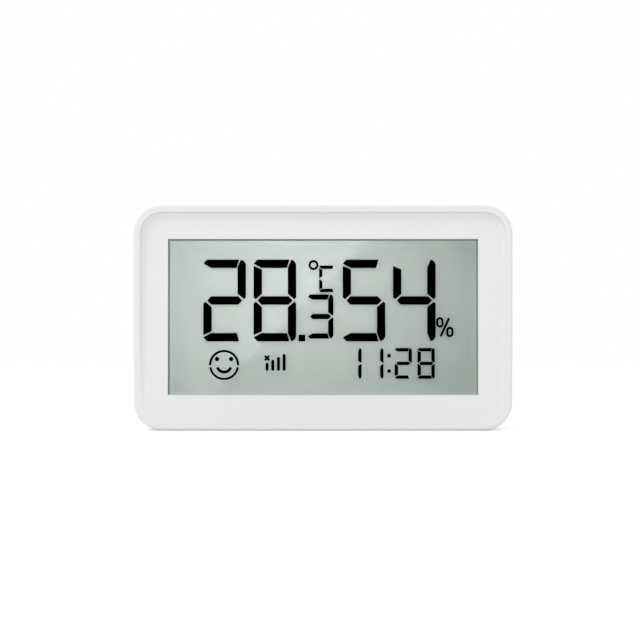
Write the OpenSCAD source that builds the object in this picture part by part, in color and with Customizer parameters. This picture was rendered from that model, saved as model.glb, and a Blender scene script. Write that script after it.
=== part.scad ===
// Table-top temperature and humidity sensor with a clock, run from two AAA cells.
// X runs to the right, Y from the front to the back, Z up. The case stands on Z = 0.

/* [Window and bezel] */
// Width of the display window
window_w = 69.6; // [60:0.2:80]
// Height of the display window
window_h = 35; // [31:0.2:44]
// Face beside the window, out to the side of the case
bezel_side = 7.7; // [7.2:0.1:14]
// Face above the window, out to the top of the case
bezel_top = 7.5; // [7:0.1:14]
// Face below the window, out to the bottom of the case
bezel_bottom = 7.9; // [7:0.1:14]

/* [Case] */
// Corner radius of the case, seen from the front
corner_r = 6.3; // [5:0.1:9]
// Side wall of both shells
wall = 1.8; // [1.4:0.1:2.2]
// Back wall of the rear shell
back_t = 1.6; // [1.2:0.1:2.4]
// Width of the raised rim round the face
rim_w = 1.5; // [1:0.1:2.2]
// Rounding of the rim's outer edge
rim_r = 0.6; // [0.3:0.1:1]
// Radius of the cove where the rim rises from the face
cove_r = 1.8; // [1.6:0.1:4]
// Width of the cove, from the face to the wall of the rim
cove_w = 1.3; // [0.6:0.1:1.6]
// Rounding of the back edge
back_r = 2; // [0.6:0.1:2.4]
// Depth of the face below the rim at its top
recess_top = 1.3; // [0.8:0.1:2.6]
// Depth of the face below the rim at its bottom
recess_bottom = 0.1; // [0.1:0.05:0.8]
// Wall of the face
face_t = 1.2; // [1:0.1:2]
// Width of the shadow line between the shells
part_gap = 0.25; // [0.1:0.05:0.5]
// Thickness of the rear shell's locating lip
lip_t = 0.8; // [0.5:0.1:0.9]
// How far the lip reaches into the front shell
lip_reach = 1.6; // [1:0.1:2.4]

/* [Display stack] */
// Front of the lens below the face
lens_sink = 0.15; // [0:0.05:0.5]
// Flange of the lens behind the face
flange_t = 0.8; // [0.6:0.1:1.6]
// Adhesive tape under the lens flange
tape_t = 0.15; // [0.05:0.05:0.4]
// Lap of the lens and glass behind the face at each side
lap_side = 0.6; // [0.4:0.1:1]
// Lap of the lens and glass behind the face at top and bottom
lap_end = 0.9; // [0.5:0.1:1.4]
// Air behind the lens
lens_air = 0.1; // [0.05:0.05:0.4]
// Front polariser
polariser_t = 0.2; // [0.1:0.05:0.4]
// Each sheet of display glass
glass_t = 0.7; // [0.5:0.1:1.4]
// Space between the two sheets of glass
cell_gap = 0.1; // [0.08:0.01:0.2]
// Rear polariser with its reflector
film_t = 0.25; // [0.15:0.05:0.5]
// Width of the edge seal
seal_w = 0.5; // [0.3:0.1:0.5]
// Contact ledge along the top of the front glass
ledge_h = 2.2; // [1.6:0.1:2.4]
// Spacer between the display and the board
spacer_t = 0.8; // [0.5:0.1:1.6]
// Width of the spacer's frame
spacer_rail = 4; // [2:0.5:6]
// Ribs that centre the lens and the glass
rib_t = 0.8; // [0.6:0.1:1]
// Conductive rubber strip, front to back of its rectangle
zebra_w = 1.7; // [1.2:0.1:1.7]
// Length of the conductive strip
zebra_len = 58; // [40:1:58]
// Film of adhesive between stacked sheets
bond = 0.02; // [0.01:0.01:0.05]

/* [Display marks] */
// Height of the large numerals
digit_h = 18.45; // [14:0.05:19]
// Width of the large numerals
digit_w = 9.6; // [8:0.05:10.4]
// Stroke of the large numerals
digit_stroke = 1.88; // [1.2:0.02:2]
// Space between two large numerals
digit_gap = 1.75; // [1:0.05:2.2]
// Centre of the large numerals above the middle of the window
digit_rise = 3.8; // [2.5:0.05:4.2]
// Left edge of the temperature, from the middle of the window
temperature_x = -27; // [-29:0.05:-26]
// Left edge of the humidity, from the middle of the window
humidity_x = 4.45; // [4.4:0.05:5.5]
// Side of the decimal point
point_size = 1.5; // [1:0.05:1.6]
// Space on each side of the decimal point
point_gap = 0.55; // [0.3:0.05:0.7]
// Height of the tenths numeral
tenths_h = 10; // [8:0.1:10.2]
// Width of the tenths numeral
tenths_w = 5.8; // [4.6:0.1:6]
// Stroke of the tenths numeral
tenths_stroke = 1.2; // [0.7:0.05:1.3]
// Height of the unit letter
unit_h = 6; // [5:0.1:6.4]
// Width of the unit letter
unit_w = 3.85; // [2.4:0.05:4]
// Stroke of the unit letter
unit_stroke = 0.76; // [0.4:0.02:0.84]
// Space between the tenths numeral and the unit letter
unit_gap = 0.5; // [0.3:0.05:0.8]
// Outside of the degree ring
degree_d = 2.25; // [1.6:0.05:2.4]
// Stroke of the thin marks
thin_stroke = 0.5; // [0.3:0.02:0.6]
// Space beside the degree ring and the percent sign
sign_gap = 0.12; // [0.06:0.02:0.3]
// Height of the percent sign
percent_h = 4.5; // [3.4:0.1:5]
// Height of the clock numerals
clock_h = 6.95; // [5.5:0.05:7.2]
// Width of the clock numerals
clock_w = 3.9; // [3:0.05:4.1]
// Stroke of the clock numerals
clock_stroke = 0.78; // [0.45:0.01:0.9]
// Step between the two hour numerals
hour_pitch = 4.95; // [4.8:0.05:5.3]
// Step between the two minute numerals
clock_pitch = 5.15; // [4.8:0.05:5.3]
// Middle of the colon from the numerals beside it
colon_gap = 1.25; // [1:0.05:1.6]
// Right edge of the clock, from the middle of the window
clock_x = 25.2; // [24:0.1:27]
// Centre of the bottom row below the middle of the window
row_drop = 10.4; // [9.8:0.1:11]
// Outside of the comfort face
face_d = 6.8; // [5.4:0.1:7.2]
// Centre of the comfort face below the middle of the bottom row
face_drop = 0.35; // [0:0.05:0.5]
// Centre of the comfort face, from the middle of the window
face_x = -22.3; // [-26:0.05:-18]
// Width of a signal bar
bar_w = 0.68; // [0.4:0.02:0.8]
// Step from one signal bar to the next
bar_pitch = 1.28; // [1:0.02:1.5]
// Height of the tallest signal bar
bar_h = 3.8; // [3:0.1:4.4]
// First signal bar, from the middle of the window
bars_x = -12.6; // [-14:0.1:-10]
// Length of the strokes of the small cross by the signal bars
cross_len = 1.45; // [1:0.05:1.8]
// Small cross above the first signal bar
cross_rise = 1.05; // [0.9:0.05:1.4]

/* [Board] */
// Thickness of the main board
board_t = 1.2; // [0.8:0.1:1.6]
// Clear edge between the board and the side walls
board_side_gap = 0.9; // [0.8:0.1:1.6]
// Clear edge between the board and the top and bottom walls
board_end_gap = 1.2; // [1.1:0.1:2.4]
// Height of the wide middle of the board
board_mid_h = 33; // [28:0.5:33]
// Radius of a board post
post_r = 1.6; // [1.3:0.1:1.8]
// Board posts above and below the middle of the window
post_rise = 12; // [10:0.5:14]
// Shank diameter of a board screw
board_screw_d = 1.5; // [1.2:0.1:1.7]
// Length of a board screw below its head
board_screw_len = 4; // [3:0.5:5]
// Head diameter of a board screw
board_head_d = 3; // [2.4:0.1:3.2]
// Head height of a board screw
board_head_h = 0.9; // [0.6:0.1:1.2]
// Air between the board and the battery bay
board_gap = 0.3; // [0.2:0.1:2]

/* [Board parts] */
// Upper row of parts below the top of the board
row_inset = 5; // [4.5:0.1:5.5]
// Lower row of parts above the bottom of the board
low_row_inset = 5.5; // [5.2:0.1:5.8]
// Space between neighbours on the board
part_space = 0.65; // [0.4:0.05:1]
// Side of the radio chip
radio_side = 6; // [4:0.5:7]
// Thickness of the radio chip
radio_t = 0.85; // [0.6:0.05:1.2]
// Length of the radio crystal
crystal_w = 3.2; // [2:0.1:5]
// Width of the radio crystal
crystal_h = 2.5; // [1.6:0.1:3.2]
// Height of the radio crystal
crystal_t = 0.8; // [0.6:0.1:1.2]
// Length of the chip antenna
antenna_w = 7; // [4:0.5:9]
// Width of the chip antenna
antenna_h = 2; // [1.2:0.1:2.4]
// Height of the chip antenna
antenna_t = 1; // [0.6:0.1:1.4]
// Chip antenna above the upper row
antenna_rise = 2; // [1:0.1:2.4]
// Side of the display driver
driver_side = 7; // [6.5:0.5:7.5]
// Thickness of the display driver
driver_t = 1.4; // [1:0.1:1.6]
// Display driver to the left of the middle
driver_x = 8; // [6:0.5:14]
// Leads on each side of the display driver
lead_n = 11; // [5:2:11]
// Width of a lead
lead_w = 0.22; // [0.15:0.01:0.3]
// Step from one lead to the next
lead_pitch = 0.5; // [0.4:0.05:0.55]
// Reach of a lead beyond the body
lead_reach = 1; // [0.6:0.1:1.2]
// Thickness of a lead
lead_t = 0.2; // [0.15:0.01:0.3]
// Diameter of the clock crystal's can
can_d = 2; // [1.4:0.1:2.4]
// Length of the clock crystal's can
can_len = 6; // [4:0.5:8]
// Length of a small chip part
passive_len = 1.6; // [1:0.1:2]
// Width of a small chip part
passive_w = 0.8; // [0.5:0.1:1]
// Height of a small chip part
passive_t = 0.7; // [0.4:0.1:1]
// Small chip parts in a row
passive_n = 5; // [3:1:6]
// Step from one small chip part to the next
passive_pitch = 2.6; // [2.4:0.1:3]
// Length of the supply capacitor
capacitor_w = 3.5; // [2.5:0.1:4]
// Width of the supply capacitor
capacitor_h = 2.8; // [1.6:0.1:3]
// Height of the supply capacitor
capacitor_t = 1.9; // [1:0.1:2]
// Side of the air sensor
sensor_side = 2.5; // [2:0.1:3]
// Height of the air sensor
sensor_t = 0.9; // [0.7:0.05:1.1]
// Diameter of the air sensor's port
port_d = 1; // [0.6:0.1:1.4]
// Air sensor in from the edge of the board
sensor_inset = 1.15; // [0.8:0.05:1.6]

/* [Cells and bay] */
// Diameter of an AAA cell
cell_d = 10.5; // [9.5:0.1:11]
// Length of an AAA cell with its button
cell_len = 44.5; // [42:0.1:46]
// Diameter of the cell's button
nub_d = 3.8; // [3:0.1:4.4]
// Height of the cell's button
nub_h = 1.2; // [0.8:0.1:1.6]
// Length of the crimped rim at each end of a cell
crimp_len = 0.7; // [0.4:0.1:1]
// Step from the sleeve down to the crimped rim
crimp_step = 0.25; // [0.1:0.05:0.4]
// Room round a cell in its trough
cell_clear = 0.25; // [0.15:0.05:0.5]
// Space between the two cells
cell_space = 0.6; // [0.4:0.1:1.2]
// Wall of the battery bay
bay_wall = 1.2; // [1:0.1:1.8]
// Thickness of a battery contact
contact_t = 0.3; // [0.2:0.05:0.5]
// Half width of a battery contact
contact_r = 4.4; // [3.8:0.1:4.6]
// Height of the dimple that meets the cell's button
dimple_h = 0.6; // [0.4:0.1:1]
// Width of a solder tab
tab_w = 2.4; // [1.6:0.1:3]
// Length of a fitted spring
spring_len = 4.4; // [3.8:0.1:6]
// Wire diameter of a spring
spring_wire = 0.5; // [0.4:0.05:0.6]
// Turns of a spring
spring_turns = 3.5; // [2.5:0.5:3.5]
// Coil radius at the wide end, at the middle of the wire
spring_r_wide = 3.5; // [3:0.1:3.8]
// Coil radius at the narrow end, at the middle of the wire
spring_r_narrow = 2.2; // [1.8:0.1:2.6]

/* [Battery door] */
// Thickness of the door
door_t = 1.5; // [1.3:0.1:2]
// Air between the cells and the door
door_gap = 0.25; // [0.15:0.05:0.6]
// Lap of the door on the walls of the bay
door_lap = 0.9; // [0.6:0.1:1]
// Clearance round the door
door_clear = 0.15; // [0.1:0.05:0.25]
// Radius of the round hinge edge
knuckle_r = 1.5; // [1.4:0.1:1.6]
// Radius of a hinge pin of the door
door_pin_r = 0.75; // [0.5:0.05:0.85]
// Width of the spring tongue in the door
tongue_w = 10; // [7:0.5:16]
// Length of the slots beside the tongue
tongue_len = 7; // [5:0.5:10]
// Width of those slots
tongue_slot = 0.6; // [0.4:0.1:1]
// Radius of the finger scoop in the tongue
scoop_r = 7; // [6:0.5:10]
// Depth of the finger scoop
scoop_depth = 0.75; // [0.5:0.05:0.8]
// Margin of the finger scoop at the sides and the top of the tongue
scoop_margin = 0.9; // [0.6:0.1:1.2]
// Radius of a grip rib in the scoop
grip_r = 0.3; // [0.2:0.05:0.4]
// Step from one grip rib to the next
grip_pitch = 1.5; // [1.2:0.1:1.8]

/* [Fold-out foot] */
// Width of the foot
foot_w = 46; // [30:1:52]
// Thickness of the foot
foot_t = 2.4; // [2:0.1:2.8]
// Clearance round the foot
foot_clear = 0.2; // [0.15:0.05:0.3]
// Case below the foot
foot_lip = 1.2; // [1:0.1:2]
// Radius of a hinge pin of the foot
foot_pin_r = 0.6; // [0.4:0.05:0.65]
// Radius of the finger notch in the foot
notch_r = 5; // [3:0.5:8]
// Depth of the finger notch
notch_depth = 1.8; // [1:0.1:2.4]
// Ribs round the thinned panels inside the foot
foot_rib = 1.2; // [0.8:0.1:2]
// Depth of the thinned panels
panel_depth = 0.8; // [0.4:0.1:1]
// Length of a hinge pin, on the door and on the foot
pin_len = 1.6; // [1:0.1:2]
// Radial clearance of a hinge pin
pin_clear = 0.05; // [0.02:0.01:0.1]
// Wall at the end of a hinge pin
pin_wall = 1; // [0.8:0.1:1.4]
// Bar of the rear shell between the door and the foot
beam_t = 1.2; // [1:0.1:2]

/* [Hanging keyhole] */
// Radius of the entry hole
key_entry_r = 3; // [2.6:0.1:3.6]
// Radius of the slot's end
key_slot_r = 1.6; // [1.2:0.1:2]
// Drop from the entry to the end of the slot
key_travel = 4.2; // [3.4:0.1:5]
// Case above the slot
key_margin = 3; // [2.8:0.1:4]
// Room for the screw head behind the back wall
key_depth = 3; // [2.4:0.1:4]
// Bar between the keyhole and the battery door
key_web = 1; // [0.8:0.1:2]
// Room beside the screw head behind the back wall
key_room = 0.6; // [0.4:0.1:1]

/* [Button and vents] */
// Radius of the pairing button
button_r = 2.5; // [2:0.1:3]
// Pairing button to the right of the middle
button_x = 33; // [32:0.5:35]
// Pairing button above the middle of the window
button_rise = 4; // [0:0.5:6]
// Button top below the back of the case
button_sink = 0.3; // [0.1:0.1:0.8]
// Clearance round the button
button_clear = 0.15; // [0.1:0.05:0.3]
// Flange that keeps the button in
button_flange_t = 0.8; // [0.6:0.1:1.2]
// Width of that flange
button_flange_w = 0.9; // [0.6:0.1:1.2]
// Depth of the dish in the button
dish_depth = 0.25; // [0.1:0.05:0.4]
// Wall of the button's guide tube
guide_wall = 0.9; // [0.7:0.1:1.2]
// Guide tube of the button behind the back wall
button_guide = 2; // [1.4:0.1:3]
// Travel of the button
button_travel = 0.35; // [0.2:0.05:0.5]
// Side of the square switch
switch_size = 6; // [5:0.1:6.4]
// Height of the switch body
switch_h = 3.5; // [2.5:0.1:4]
// Height of the switch with its plunger
switch_total_h = 6; // [5:0.1:8]
// Radius of the plunger
plunger_r = 1.7; // [1.2:0.1:2]
// Number of vent slots
vent_n = 6; // [3:1:7]
// Width of a vent slot
vent_w = 1.2; // [0.8:0.1:1.5]
// Step from one vent slot to the next
vent_pitch = 2.4; // [2:0.1:2.8]
// Length of a vent slot
vent_len = 7; // [4:0.5:8]
// Middle of the vents below the middle of the window
vent_drop = 7.5; // [6:0.5:9]

/* [Housing screws] */
// Radius of a front boss
boss_r = 2; // [1.7:0.1:2.1]
// Bosses in from the top and bottom of the case
boss_inset = 5; // [4.6:0.1:5.6]
// Shank diameter of a housing screw
screw_d = 2; // [1.6:0.1:2.2]
// Length of a housing screw below its head
screw_len = 10; // [8:0.5:12]
// Thread engagement in the front boss
screw_bite = 3.2; // [2.5:0.1:4]
// Head diameter of a housing screw
screw_head_d = 3.6; // [3.2:0.1:4]
// Head height of a housing screw
screw_head_h = 1.3; // [1:0.1:1.6]
// Wall of a screw well
well_wall = 0.9; // [0.7:0.1:1.2]

/* [Fits] */
// Room round the lens in the window
lens_clear = 0.08; // [0.05:0.01:0.15]
// Room between the glass and its ribs
rib_clear = 0.12; // [0.08:0.01:0.2]
// Room round the conductive strip in the spacer
zebra_clear = 0.1; // [0.05:0.05:0.2]
// Room between the glass and the bosses
boss_clear = 0.2; // [0.1:0.05:0.4]
// Pilot hole outside the screw's thread
thread_clear = 0.05; // [0.02:0.01:0.1]
// Room below the tip of a screw
tip_room = 0.4; // [0.2:0.1:0.8]
// Room round a screw where it passes freely
shank_clear = 0.15; // [0.1:0.05:0.25]
// Room round a screw head in its well
head_clear = 0.25; // [0.15:0.05:0.4]
// Room round a solder tab
tab_clear = 0.15; // [0.1:0.05:0.25]
// Room between a contact and the hinge edge of the door
contact_clear = 0.3; // [0.2:0.05:0.6]
// Room at each end of a spring
coil_clear = 0.07; // [0.05:0.01:0.1]
// Room at the end of a hinge pin
pin_end_clear = 0.1; // [0.05:0.05:0.2]
// Room round the plunger of the switch
plunger_clear = 0.1; // [0.05:0.05:0.2]
// Room between the button and the plunger
button_gap = 0.12; // [0.05:0.01:0.2]

/* [Hidden] */
$fn = 48;

// Case outline and the tilted face
case_w = window_w + 2 * bezel_side;
case_h = window_h + bezel_top + bezel_bottom;
window_z = bezel_bottom + window_h / 2;
face_tilt = atan((recess_top - recess_bottom) / (case_h - 2 * rim_w));
window_recess = recess_bottom + (window_z - rim_w) * tan(face_tilt);
far = case_w + case_h;
// Overrun of a cut past the surface that it opens
over = 1;

// Display stack, measured back from the face
tape_y = face_t;
flange_y = tape_y + tape_t + bond;
polariser_y = flange_y + flange_t + lens_air;
front_glass_y = polariser_y + polariser_t + bond;
marks_y = front_glass_y + glass_t;
rear_glass_y = marks_y + cell_gap;
film_y = rear_glass_y + glass_t + bond;
spacer_y = film_y + film_t + bond;
board_y = spacer_y + spacer_t + bond;
board_back = board_y + board_t;
glass_w = window_w + 2 * lap_side;
glass_h = window_h + 2 * lap_end;
zebra_z = glass_h / 2 + ledge_h / 2;
mark_t = cell_gap - 2 * bond;

// Board outline
board_w = case_w - 2 * wall - 2 * board_side_gap;
board_h = case_h - 2 * wall - 2 * board_end_gap;
board_core_w = glass_w - 2 * bond;
post_x = board_w / 2 - post_r;

// Depth of the case, worked out from what it holds
board_reach = window_recess + board_back * cos(face_tilt) + board_h / 2 * sin(face_tilt);
bay_depth = bay_wall + cell_clear + cell_d + door_gap;
case_d = board_reach + board_gap + bay_depth + door_t;
front_y = -case_d / 2;
back_y = case_d / 2;
part_y = front_y + board_reach + bond;

// Back of the case from the top down
trough_r = cell_d / 2 + cell_clear;
key_end_z = case_h - key_margin - key_slot_r;
key_z = key_end_z - key_travel;
door_open_top = key_z - key_entry_r - key_web;
bay_top = door_open_top - door_lap;
upper_z = bay_top - trough_r;
lower_z = upper_z - cell_d - cell_space;
bay_bottom = lower_z - trough_r;
door_open_bottom = bay_bottom - door_lap;
knuckle_z = door_open_bottom + door_clear + knuckle_r;
knuckle_y = back_y - knuckle_r;
foot_r = foot_t / 2;
foot_z = foot_lip + foot_clear + foot_r;
foot_y = back_y - foot_r;
foot_tip = door_open_bottom - beam_t - foot_clear;

// Bay and door along X
cell_y = back_y - door_t - door_gap - cell_d / 2;
bay_len = cell_len + spring_len + dimple_h + 2 * contact_t + 2 * bond;
cell_shift = (spring_len - dimple_h) / 2;
door_open_w = bay_len + 2 * door_lap;
door_w = door_open_w - 2 * door_clear;
lug_w = pin_len + pin_wall;
contact_back = knuckle_y - knuckle_r - contact_clear - cell_y;

// Screws and bosses
boss_x = glass_w / 2 + boss_clear + boss_r;
seat_y = part_y - screw_bite + screw_len;
well_r = screw_head_d / 2 + head_clear;

// Places on the back of the board: two rows, above and below the battery bay
top_row = board_h / 2 - row_inset;
bottom_row = low_row_inset - board_h / 2;
row_end = boss_x - well_r - well_wall - part_space;
antenna_x = antenna_w / 2 - row_end;
radio_x = antenna_x + antenna_w / 2 + part_space + radio_side / 2;
crystal_x = radio_x + radio_side / 2 + part_space + crystal_w / 2;
passives_x = crystal_x + crystal_w / 2 + part_space + passive_len / 2;
capacitor_x = row_end - capacitor_w / 2;
can_x = driver_side / 2 - driver_x + lead_reach + part_space;
low_passives_x = can_x + can_len + part_space + passive_w / 2;
sensor_x = board_w / 2 - sensor_inset - sensor_side / 2;

// Button
button_z = window_z + button_rise;
button_guide_y = back_y - back_t - button_guide;
plunger_top_y = board_point(button_rise, switch_total_h)[1];

// Height of the board's back above a level, and a point of the face frame in the case
function board_back_y(z) =
    front_y + window_recess + (z - window_z) * tan(face_tilt) + board_back / cos(face_tilt);
function board_point(rise, height) = [
    0,
    front_y + window_recess + rise * sin(face_tilt) + (board_back + height) * cos(face_tilt),
    window_z + rise * cos(face_tilt) - (board_back + height) * sin(face_tilt)
];

// Which of the seven strokes a numeral lights: top, upper right, lower right, bottom,
// lower left, upper left, middle
STROKES = [
    [1, 1, 1, 1, 1, 1, 0], [0, 1, 1, 0, 0, 0, 0], [1, 1, 0, 1, 1, 0, 1], [1, 1, 1, 1, 0, 0, 1],
    [0, 1, 1, 0, 0, 1, 1], [1, 0, 1, 1, 0, 1, 1], [1, 0, 1, 1, 1, 1, 1], [1, 1, 1, 0, 0, 0, 0],
    [1, 1, 1, 1, 1, 1, 1], [1, 1, 1, 1, 0, 1, 1]
];
UNIT_STROKES = [1, 0, 0, 1, 1, 1, 0];

// Outlines of the strokes of a numeral, from its top left corner, down positive
function top_stroke(w, s) =
    [[0, 0.48 * s], [0.45 * s, 0], [w - 0.8 * s, 0], [w - 1.1 * s, s], [0.94 * s, s]];
function upper_right(w, m, s) = [
    [w - 0.6 * s, 0], [w - 0.25 * s, 0.15 * s], [w, 0.55 * s], [w, m - 0.38 * s],
    [w - 0.2 * s, m - 0.14 * s], [w - s, m - 0.8 * s], [w - s, 0.98 * s]
];
function upper_left(m, s) =
    [[0, 0.76 * s], [s, 1.19 * s], [s, m - 0.8 * s], [0.26 * s, m - 0.14 * s], [0, m - 0.36 * s]];
function middle_stroke(w, m, s) = [
    [0.46 * s, m], [0.93 * s, m - s / 2], [w - 0.92 * s, m - s / 2], [w - 0.43 * s, m],
    [w - 0.92 * s, m + s / 2], [0.93 * s, m + s / 2]
];
function turned_down(h, points) = [for (p = points) [p[0], h - p[1]]];
function stroke_outline(i, w, h, s) =
    i == 0 ? top_stroke(w, s) :
    i == 1 ? upper_right(w, h / 2, s) :
    i == 2 ? turned_down(h, upper_right(w, h / 2, s)) :
    i == 3 ? turned_down(h, top_stroke(w, s)) :
    i == 4 ? turned_down(h, upper_left(h / 2, s)) :
    i == 5 ? upper_left(h / 2, s) :
    middle_stroke(w, h / 2, s);

// Middle of a spring's wire and the points of its tube, ring by ring along X from the wide end
COIL_STEPS = 8;
TUBE_SIDES = 6;
coil_rings = spring_turns * COIL_STEPS;
coil_rise = spring_len - spring_wire - 2 * coil_clear;
function coil_point(i) =
    let (f = i / coil_rings, a = 360 * i / COIL_STEPS)
    let (r = spring_r_wide + (spring_r_narrow - spring_r_wide) * f)
    [spring_wire / 2 + coil_clear + coil_rise * f, r * cos(a), r * sin(a)];
function tube_point(i, k) =
    let (a = 360 * i / COIL_STEPS, b = 360 * k / TUBE_SIDES, c = coil_point(i), s = spring_wire / 2)
    [c[0] + s * sin(b), c[1] + s * cos(b) * cos(a), c[2] + s * cos(b) * sin(a)];
turn_gaps = [
    for (i = [0:coil_rings - COIL_STEPS]) norm(coil_point(i + COIL_STEPS) - coil_point(i)) - spring_wire
];
echo(least_gap_between_spring_turns = min(turn_gaps));

// Colours
white_plastic = [0.91, 0.91, 0.90];
clear_plastic = [0.85, 0.9, 0.9, 0.35];
glass_tint = [0.8, 0.88, 0.85, 0.4];
mark_black = [0.02, 0.03, 0.02];
reflector_green = [0.66, 0.72, 0.68];
board_green = [0.08, 0.32, 0.18];
chip_black = [0.07, 0.07, 0.08];
bare_metal = [0.75, 0.75, 0.73];
rubber_grey = [0.25, 0.25, 0.27];

// Shared shapes

// Everything inside is placed from the middle of the window: X right, Y back from the face, Z up
module on_face() {
    translate([0, front_y + window_recess, window_z]) rotate([-face_tilt, 0, 0]) children();
}

// Half space behind a plane parallel to the face
module behind_face(depth) {
    on_face() translate([-far, depth, -far]) cube(2 * far);
}

// Box in the face frame, centred across, from one depth to the next
module face_box(w, h, y0, y1, x = 0, z = 0) {
    translate([x - w / 2, y0, z - h / 2]) cube([w, y1 - y0, h]);
}

// Waste of an outer corner rounded to r, with the corner at the origin
module round_off(r) {
    difference() {
        translate([-r, -r]) square(r + over);
        translate([-r, -r]) circle(r);
    }
}

module rounded_rect(w, h, r) {
    difference() {
        square([w, h], center = true);
        for (a = [0, 1], b = [0, 1])
            mirror([a, 0]) mirror([0, b]) translate([w / 2, h / 2]) round_off(r);
    }
}

// Case outline drawn in by inset, from depth y0 to y1
module case_plate(inset, y0, y1) {
    translate([0, y1, case_h / 2]) rotate([90, 0, 0]) linear_extrude(y1 - y0)
        rounded_rect(case_w - 2 * inset, case_h - 2 * inset, corner_r - inset);
}

// Section through the edge of the case, from the centre of a corner outwards
module edge_section(y0, y1, front_round, back_round) {
    difference() {
        translate([0, -y1]) square([corner_r, y1 - y0]);
        if (front_round > 0) translate([corner_r, -y0]) round_off(front_round);
        if (back_round > 0) translate([corner_r, -y1]) mirror([0, 1]) round_off(back_round);
    }
}

// Carries a section round the outline of the case
module round_the_case() {
    across = case_w / 2 - corner_r;
    up = case_h / 2 - corner_r;
    translate([0, 0, case_h / 2]) for (a = [0, 1], b = [0, 1]) mirror([a, 0, 0]) mirror([0, 0, b]) {
        translate([across, 0, up]) rotate([90, 0, 0]) rotate_extrude(angle = 90) children();
        translate([across, 0, up]) rotate([180, 0, 0]) linear_extrude(up) children();
        translate([0, 0, up]) rotate([180, -90, 0]) linear_extrude(across) children();
    }
}

// Solid case form with its edges rounded at the front or at the back
module case_form(y0, y1, front_round, back_round) {
    across = case_w / 2 - corner_r;
    round_the_case() edge_section(y0, y1, front_round, back_round);
    span([-across, y0, corner_r], [across, y1, case_h - corner_r]);
}

// Section through the edge of the recess over the face, from the centre of a corner outwards
module recess_section() {
    reach = corner_r - rim_w;
    difference() {
        square([reach, recess_top + over]);
        translate([reach + cove_r - cove_w, 0]) mirror([0, 1]) round_off(cove_r);
    }
}

// Waste over the face, inside the rim, coved where the rim rises
module face_recess() {
    across = case_w / 2 - corner_r;
    on_face() translate([0, 0, -window_z]) {
        round_the_case() recess_section();
        span([-across, -recess_top - over, corner_r], [across, 0, case_h - corner_r]);
    }
}

// Box between two corners
module span(low, high) {
    translate(low) cube(high - low);
}

// Round bar along Y, from y0 to y1
module bar_y(r, y0, y1) {
    translate([0, y1, 0]) rotate([90, 0, 0]) cylinder(r = r, h = y1 - y0);
}

// Round bar along X, from x0 to x1
module bar_x(r, x0, x1) {
    translate([x0, 0, 0]) rotate([0, 90, 0]) cylinder(r = r, h = x1 - x0);
}

module at_bosses() {
    for (x = [-boss_x, boss_x], z = [boss_inset, case_h - boss_inset]) translate([x, 0, z]) children();
}

module at_posts() {
    on_face() for (x = [-post_x, post_x], z = [-post_rise, post_rise]) translate([x, 0, z]) children();
}

// Flat mark between the two sheets of glass
module mark() {
    on_face() translate([0, marks_y + bond + mark_t, 0]) rotate([90, 0, 0]) linear_extrude(mark_t) children();
}

// Lit strokes of one numeral, with its top left corner at x, z
module strokes(lit, x, z, w, h, s) {
    for (i = [0:6]) if (lit[i] == 1)
        mark() translate([x, z]) mirror([0, 1]) polygon(stroke_outline(i, w, h, s));
}

module ring(outer_d, stroke) {
    difference() {
        circle(d = outer_d);
        circle(d = outer_d - 2 * stroke);
    }
}

// Small square-edged part on the back of the board
module board_part(w, h, t, x, z, lift = 0) {
    on_face() face_box(w, h, board_back + bond + lift, board_back + bond + lift + t, x, z);
}

// Screw pointing to the front, seated under its head at the origin
module screw(shank_d, length, head_d, head_h) {
    slot_w = head_d * 0.14;
    slot_len = head_d * 0.6;
    difference() {
        union() {
            bar_y(shank_d / 2, -length, 0);
            bar_y(head_d / 2, 0, head_h);
        }
        for (a = [0, 90]) rotate([0, a, 0])
            translate([-slot_len / 2, head_h * 0.45, -slot_w / 2]) cube([slot_len, head_h, slot_w]);
    }
}

// Front shell, lens and display

module front_shell_walls() {
    difference() {
        case_form(front_y, part_y, rim_r, 0);
        intersection() {
            case_plate(wall, front_y, part_y + over);
            behind_face(face_t);
        }
        case_plate(wall - lip_t - 2 * pin_clear, part_y - lip_reach - part_gap, part_y + over);
    }
}

// Ribs that centre the lens and the glass
module display_ribs() {
    rib_len = window_h / 2;
    rib_x = glass_w / 2 + rib_clear + rib_t / 2;
    rib_low = -glass_h / 2 - rib_clear - rib_t / 2;
    rib_high = glass_h / 2 + ledge_h + rib_clear + rib_t / 2;
    rib_y0 = face_t / 2;
    on_face() {
        for (x = [-rib_x, rib_x]) face_box(rib_t, rib_len, rib_y0, film_y, x, 0);
        for (x = [-window_w / 4, window_w / 4], z = [rib_low, rib_high])
            face_box(rib_len, rib_t, rib_y0, film_y, x, z);
    }
}

module front_housing() color(white_plastic) {
    difference() {
        union() {
            front_shell_walls();
            at_bosses() bar_y(boss_r, front_y + recess_bottom + face_t / 2, part_y);
            at_posts() bar_y(post_r, face_t / 2, board_y);
            display_ribs();
        }
        face_recess();
        on_face() face_box(window_w, window_h, -over, face_t + over);
        at_bosses() bar_y(screw_d / 2 + thread_clear, part_y - screw_bite - tip_room, part_y + over);
        at_posts()
            bar_y(board_screw_d / 2 + thread_clear, board_back - board_screw_len - tip_room, board_y + over);
    }
}

module lens_tape() color([0.2, 0.2, 0.2]) on_face() difference() {
    face_box(glass_w, glass_h, tape_y + bond / 2, tape_y + tape_t);
    face_box(window_w, window_h, tape_y - over, tape_y + tape_t + over);
}

module display_lens() color(clear_plastic) on_face() {
    face_box(window_w - 2 * lens_clear, window_h - 2 * lens_clear, lens_sink, flange_y + flange_t);
    face_box(glass_w, glass_h, flange_y, flange_y + flange_t);
}

module front_polariser() color(glass_tint) on_face()
    face_box(glass_w - 2 * bond, glass_h - 2 * bond, polariser_y, polariser_y + polariser_t);

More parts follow.
